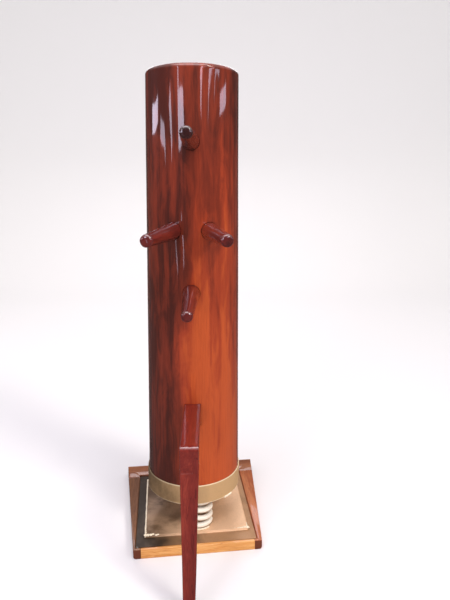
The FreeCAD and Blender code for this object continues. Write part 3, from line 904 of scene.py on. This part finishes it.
def coil_path(centre, foot, rise, radius):
    """A left-hand coil's points from the foot's level up, with a flat stretch at each end."""
    path = []
    for step in range(round((2 * FLAT_TURNS + ACTIVE_TURNS) * STEPS_PER_TURN) + 1):
        turn = step / STEPS_PER_TURN
        height = rise * min(max(turn - FLAT_TURNS, 0), ACTIVE_TURNS) / ACTIVE_TURNS
        side = Vector((math.cos(2 * math.pi * turn), -math.sin(2 * math.pi * turn), 0))
        path.append(Vector((centre.x, centre.y, foot + height)) + side * radius)
    return path


def build_spring(node):
    """A coil spring in two halves, split at the middle of its height."""
    low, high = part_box(node)
    centre = (low + high) / 2
    outer = (high.x - low.x) / 2
    inner = min(math.hypot(p.x - centre.x, p.y - centre.y) for p in points_of(node))
    wire = (outer - inner) / 2
    path = coil_path(centre, low.z + wire, high.z - low.z - 2 * wire, (outer + inner) / 2)
    seam = len(path) // 2
    middle = path[seam].z

    def half(name, part, first, second, start, end):
        """One half; the wire thins a little towards the spring's own ends."""
        radii = []
        for point in part:
            nearest = min((point - path[0]).length, (point - path[-1]).length)
            radii.append((wire - 0.2 * MM) * min(1, 0.86 + nearest / (20 * MM)))
        outward = [Vector((point.x - centre.x, point.y - centre.y, 0)) for point in part]
        piece = tube(Shape(), part, radii, outward, 28).make(name, "spring")
        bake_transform(piece)
        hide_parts(node)

    body = BODY[node]
    half(f"{node}_lower", path[: seam + 1], BODY["spring_plate"], body, low.z + wire, middle - wire)
    half(f"{node}_upper", path[seam:], body, BODY["trunk"], middle + wire, high.z - wire)


def build_foot_bead():
    """The weld that holds the front spring's foot to the plate, where it shows."""
    low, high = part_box("front_spring")
    centre = (low + high) / 2
    reach = (high.x - low.x) / 2 + 1.5 * MM
    steps = 40
    path, radii = [], []
    for k in range(steps + 1):
        turn = math.radians(-75 + 121 * k / steps)
        spot = Vector((reach * math.sin(turn), -reach * math.cos(turn), 0))
        path.append(Vector((centre.x, centre.y, low.z + 1.2 * MM)) + spot)
        uneven = 0.4 * math.sin(k * 1.7) + 0.6 * noise.noise(Vector((k * 0.3, 2, 0)))
        radii.append((2.6 + uneven) * MM)
    outward = [point - centre for point in path]
    bead = tube(Shape(), path, radii, outward, 14)
    attach(bead.make("spring_foot_bead", "weld"), "plate_welds")


# ---------------------------------------------------------------- the base


def base_extent(node):
    """A node's lowest and highest corner in the base's own turned axes."""
    return extent(local_points(node, BASE))


def build_plates():
    """The sheet and both plates with soft edges; the sheet is cut a little short in front."""
    for node, paint, edge, short in (
        ("base_sheet", "sheet", 0.5 * MM, 5 * MM),
        ("spring_plate", "plate", 1.8 * MM, 0),
        ("ballast_plate", "steel", 1.0 * MM, 0),
    ):
        low, high = base_extent(node)
        low.y += short
        shape = Shape()
        start = (low.z, low.to_2d(), high.to_2d())
        end = (high.z, low.to_2d(), high.to_2d())
        bar(shape, BASE, start, end, edge, 2.5 * MM)
        install(shape.make(f"{node}_rolled", paint), node)


def weld_run(shape, first, last, side, thick):
    """An uneven bead along one edge of the raised plate."""
    way = (last - first).normalized()
    out = Vector((way.y, -way.x, 0))
    count = 260
    path, radii = [], []
    for k in range(count + 1):
        drift = 0.7 * MM * noise.noise(Vector((side * 5, k * 0.03, 1)))
        path.append(BASE @ (first.lerp(last, k / count) + out * (0.2 * MM + drift)))
        ripple = abs(math.sin(k * 0.75 + 2 * noise.noise(Vector((k * 0.05, side, 0)))))
        swell = 0.7 * noise.noise(Vector((k * 0.06, side, 3)))
        radii.append((thick + 0.5 * ripple + swell) * MM)
    tube(shape, path, radii, [BASE.to_3x3() @ out] * len(path), 12)


def corner_lumps(shape, x, y, top, number):
    """Lumps of weld metal that trail off along both edges from a front corner."""
    inward = 1 if x < 0 else -1
    for k in range(6):
        seed = number * 13.7 + k * 4.1
        along = (k * 7.5 + 5 * noise.noise(Vector((seed, 0, 0)))) * MM
        back = (4 + 6 * noise.noise(Vector((0, seed, 0)))) * MM
        swell = 1.25 - 0.13 * k + 0.4 * noise.noise(Vector((0, 0, seed)))
        size = [part * swell * MM for part in (5.2, 3.8, 2.6)]
        blob(shape, BASE @ Vector((x + inward * along, y + back, top - 0.8 * MM)), size, seed)
    for k in range(3):
        seed = number * 5.3 + k * 2.9 + 40
        size = [part * (1 - 0.15 * k) * MM for part in (3.4, 5.0, 2.4)]
        blob(shape, BASE @ Vector((x, y + (6 + 9 * k) * MM, top - 1.5 * MM)), size, seed)


def build_welds():
    """The bead round the raised plate: thick and painted pale on the left as a painted highlight along
    that edge, and lumpy at both front corners.
    """
    low, high = base_extent("spring_plate")
    runs, pale = Shape(), Shape()
    level = low.z + 0.8 * MM
    corners = [(low.x, low.y), (high.x, low.y), (high.x, high.y), (low.x, high.y)]
    for side in range(4):
        first = Vector((*corners[side], level))
        last = Vector((*corners[(side + 1) % 4], level))
        # the left run takes the pale weld paint as a painted highlight; the other runs take the
        # plate's paint
        left = side == 3
        weld_run(pale if left else runs, first, last, side, 4.0 if left else 2.5)
    install(runs.make("plate_weld_runs", "plate"), "plate_welds")
    for number, (x, y) in enumerate(corners[:2]):
        corner_lumps(pale, x, y, high.z, number)
    attach(pale.make("pale_welds", "weld"), "plate_welds")


def hull_corners(points):
    """The corners of the convex outline round some points, in plan, anticlockwise."""
    spots = sorted({(round(p.x, 5), round(p.y, 5)) for p in points})
    straight = 1e-7

    def chain(ordered):
        made = []
        for spot in ordered:
            while len(made) > 1:
                (ax, ay), (bx, by) = made[-2], made[-1]
                turn_left = (bx - ax) * (spot[1] - ay) - (by - ay) * (spot[0] - ax)
                if turn_left > straight:
                    break
                made.pop()
            made.append(spot)
        return made[:-1]

    return chain(spots) + chain(list(reversed(spots)))


def build_rails():
    """The surround's boards: rebated for the sheet, with worn edges."""
    sheet_low, sheet_high = base_extent("base_sheet")
    gap = Vector((2.2 * MM, 2.2 * MM))
    for side in ("front", "back", "left", "right"):
        node = f"{side}_rail"
        points = local_points(node, BASE)
        low, high = extent(points)
        corners = hull_corners([p for p in points if p.z < low.z + 0.5 * MM])
        rings = [[BASE @ Vector((x, y, z)) for x, y in corners] for z in (low.z, high.z)]
        board = Shape().loft(rings).make(f"{node}_board", side)
        if side in ("left", "right"):
            round_under(board, low.z, -1 if side == "left" else 1)
        rebate = Shape()
        floor = [sheet_low.to_2d() - gap, sheet_high.to_2d() + gap]
        levels = (sheet_low.z, high.z + 10 * MM)
        rebate.loft([rounded(BASE, z, *floor, 1 * MM) for z in levels])
        carve(board, [rebate.make("rebate_cutter", side)])
        soften(board, 1.6 * MM)
        install(board, node)


def round_under(board, level, hand):
    """Rounds the board's lower outer edge; hand is -1 on the left and 1 on the right."""
    work = bmesh.new()
    work.from_mesh(board.data)
    inverse = BASE.inverted()

    def outer(edge):
        ends = [inverse @ vertex.co for vertex in edge.verts]
        along = abs(ends[0].y - ends[1].y) > 100 * MM
        return along and all(abs(end.z - level) < 0.1 * MM for end in ends)

    edges = sorted(
        (edge for edge in work.edges if outer(edge)),
        key=lambda edge: hand * sum(vertex.co.x for vertex in edge.verts),
    )
    bmesh.ops.bevel(
        work,
        geom=[edges[-1]],
        offset=8 * MM,
        segments=6,
        profile=0.5,
        affect="EDGES",
    )
    work.to_mesh(board.data)
    work.free()


# a screw's outline: radius, and height above the sheet, in millimetres
SCREW_PROFILE = (
    (2.2, -10),
    (2.2, -0.3),
    (4.4, -0.3),
    (4.4, 0.5),
    (4.0, 1.2),
    (3.0, 1.8),
    (1.6, 2.1),
    (0.3, 2.2),
)


def screw_centres():
    """The middle of each screw's head in plan, from the clusters of the node's top points."""
    points = points_of("sheet_screws")
    top = max(p.z for p in points)
    heads = []
    for point in points:
        if point.z < top - 0.3 * MM:
            continue
        near = [head for head in heads if (head[0] - point).length < 8 * MM]
        if near:
            near[0].append(point)
        else:
            heads.append([point])
    boxes = [extent(head) for head in heads]
    return [((low.x + high.x) / 2, (low.y + high.y) / 2) for low, high in boxes]


def build_screws():
    """The sheet's screws: low domed heads with a crossed recess."""
    sheet_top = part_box("base_sheet")[1].z
    profile = [(radius * MM, height * MM) for radius, height in SCREW_PROFILE]
    ends = (Vector((-2.2 * MM, -0.4 * MM)), Vector((2.2 * MM, 0.4 * MM)))
    shape = Shape()
    slots = Shape()
    for index, (x, y) in enumerate(screw_centres()):
        at = Matrix.Translation((x, y, sheet_top)) @ Matrix.Rotation(index * 0.9, 4, "Z")
        lathe(shape, profile, at, 32)
        for turn in (0, math.pi / 2):
            across = at @ Matrix.Rotation(turn, 4, "Z")
            slots.loft([rounded(across, z, *ends, 0.2 * MM, steps=2) for z in (1.1 * MM, 3 * MM)])
    screws = shape.make("sheet_screw_heads", "zinc")
    carve(screws, [slots.make("recess_cutter", "zinc")])
    install(screws, "sheet_screws")


def paint_hidden_nodes():
    """The CAD nodes that stay as they are: what is closed in or under the base."""
    for node, paint in (
        ("cup_plate", "band"),
        ("cup_screws", "zinc"),
        ("rail_dowels", "dowel"),
        ("lower_spring_seats", "plate"),
        ("upper_spring_seats", "band"),
    ):
        mesh = frame["nodes"][node].data
        mesh.materials.clear()
        mesh.materials.append(PAINTS[paint])


# ---------------------------------------------------------------- stage, lights and camera


def build_stage():
    """A plain pale floor that curves up far behind; the gloss sees it as a dimmer one."""
    paint = Paint("pale_floor", roughness=0.7, specular_ior_level=0.2)
    glossy = paint.node("LightPath", {}).outputs["Is Glossy Ray"]
    paint.put(base_color=paint.mix(glossy, srgb(244, 244, 244), srgb(84, 78, 76)))
    side, bend, curve, top = 12.0, 3.4, 2.0, 4.4
    steps = 16
    profile = [(-side, 0.0), (bend, 0.0)]
    for step in range(1, steps + 1):
        angle = math.pi / 2 * step / steps
        profile.append((bend + curve * math.sin(angle), curve - curve * math.cos(angle)))
    profile.append((bend + curve, top))
    points, faces = [], []
    for y, z in profile:
        points += [(-side, y, z), (side, y, z)]
    for k in range(len(profile) - 1):
        faces.append((2 * k, 2 * k + 1, 2 * k + 3, 2 * k + 2))
    mesh = bpy.data.meshes.new("pale_floor")
    mesh.from_pydata(points, [], faces)
    mesh.materials.append(paint.material)
    for face in mesh.polygons:
        face.use_smooth = True
    floor = bpy.data.objects.new("pale_floor", mesh)
    bpy.context.scene.collection.objects.link(floor)


def add_light(name, azimuth, distance, height, size, power, colour, look):
    """A soft rectangular light aimed at the axis at height look; azimuth 90 is on the right."""
    light = bpy.data.lights.new(name, "AREA")
    light.shape = "RECTANGLE"
    light.size, light.size_y = size
    light.energy = power
    light.color = colour
    thing = bpy.data.objects.new(name, light)
    angle = math.radians(azimuth)
    thing.location = (distance * math.sin(angle), -distance * math.cos(angle), height)
    aim = Vector((0, 0, look)) - thing.location
    thing.rotation_euler = aim.to_track_quat("-Z", "Z").to_euler()
    bpy.context.scene.collection.objects.link(thing)


def build_strips():
    """Narrow upright lights that the log's gloss shows as streaks, all at one distance."""
    distance = 3.5
    lavender = (0.86, 0.8, 1.0)
    # low and high are the strip's ends in metres
    for azimuth, low, high, width, glow in (
        (-98, 1.26, 2.25, 0.26, 9),
        (-70, 1.12, 1.9, 0.22, 7),
        (-50, 1.24, 2.1, 0.3, 8),
        (-30, 1.4, 3.0, 0.4, 10),
        (-22, 0.3, 0.85, 0.06, 5),
        (-39, 0.2, 0.75, 0.05, 5),
        (26, 1.7, 3.0, 0.3, 8),
        (47, 1.5, 2.8, 0.14, 7),
        (62, 1.7, 2.5, 0.1, 6),
        (82, 1.4, 2.4, 0.2, 7),
    ):
        size = (width, high - low)
        power = glow * math.pi * width * (high - low)
        middle = (low + high) / 2
        name = f"strip_{azimuth % 360}"
        add_light(name, azimuth, distance, middle, size, power, lavender, middle)


def build_world():
    """Soft daylight; the gloss sees a dim room with a bright ceiling."""
    world = bpy.data.worlds.new("studio")
    world.use_nodes = True
    sky = Nodes(world.node_tree)
    rays = sky.node("LightPath", {}).outputs
    way = sky.node("SeparateXYZ", {"Vector": sky.node("TexCoord", {}).outputs["Generated"]})

    def between(value, low, high, start=0.0, end=1.0):
        """Runs from low to high while the value runs from start to end."""
        inputs = {"Value": value, "From Min": start, "From Max": end, "To Min": low, "To Max": high}
        return sky.node("MapRange", inputs).outputs["Result"]

    ceiling = between(way.outputs["Z"], 0.07, 0.9, 0.3, 0.62)
    plain = between(rays["Is Camera Ray"], 0.5, 0.86)
    background = sky.tree.nodes["Background"]
    sky.link(background.inputs["Color"], (0.96, 0.93, 0.96, 1))
    sky.link(background.inputs["Strength"], between(rays["Is Glossy Ray"], plain, ceiling))
    bpy.context.scene.world = world


def build_lights():
    """A soft sun from the right, a soft box overhead, a window behind and the narrow strips."""
    sun = bpy.data.lights.new("sun_soft", "SUN")
    sun.energy = 1.2
    sun.angle = math.radians(16)
    sun.color = (1.0, 0.95, 0.88)
    thing = bpy.data.objects.new("sun_soft", sun)
    thing.rotation_euler = Vector((-0.57, 0.5, -0.66)).to_track_quat("-Z", "Z").to_euler()
    bpy.context.scene.collection.objects.link(thing)
    pink = (1.0, 0.93, 0.98)
    add_light("top_soft", -8, 0.9, 3.2, (2.0, 1.6), 46, pink, 0.4)
    add_light("back_window", 180, 4.0, 3.2, (3.0, 0.8), 36, pink, 0.1)
    build_strips()
    build_world()
    bpy.context.scene.view_settings.view_transform = "Standard"


def build_camera():
    """The photograph's camera: close, a little above the middle, and shifted down."""
    camera = bpy.data.cameras.new("camera")
    camera.lens = 31.66
    camera.sensor_width = 36
    camera.shift_y = -0.127
    camera.clip_start = 0.05
    thing = bpy.data.objects.new("camera", camera)
    thing.location = (0.0642, -1.7268, 1.1145)
    thing.rotation_euler = (math.pi / 2 - 0.077, 0, -0.024)
    bpy.context.scene.collection.objects.link(thing)
    bpy.context.scene.camera = thing


for number, arm in enumerate(ARMS):
    arm.build(number * 3.1)
build_leg()
build_log()
build_band()
build_band_bead()
for spring in ("front_spring", "rear_left_spring", "rear_right_spring"):
    build_spring(spring)
build_foot_bead()
build_plates()
build_welds()
build_rails()
build_screws()
paint_hidden_nodes()
build_stage()
build_lights()
build_camera()
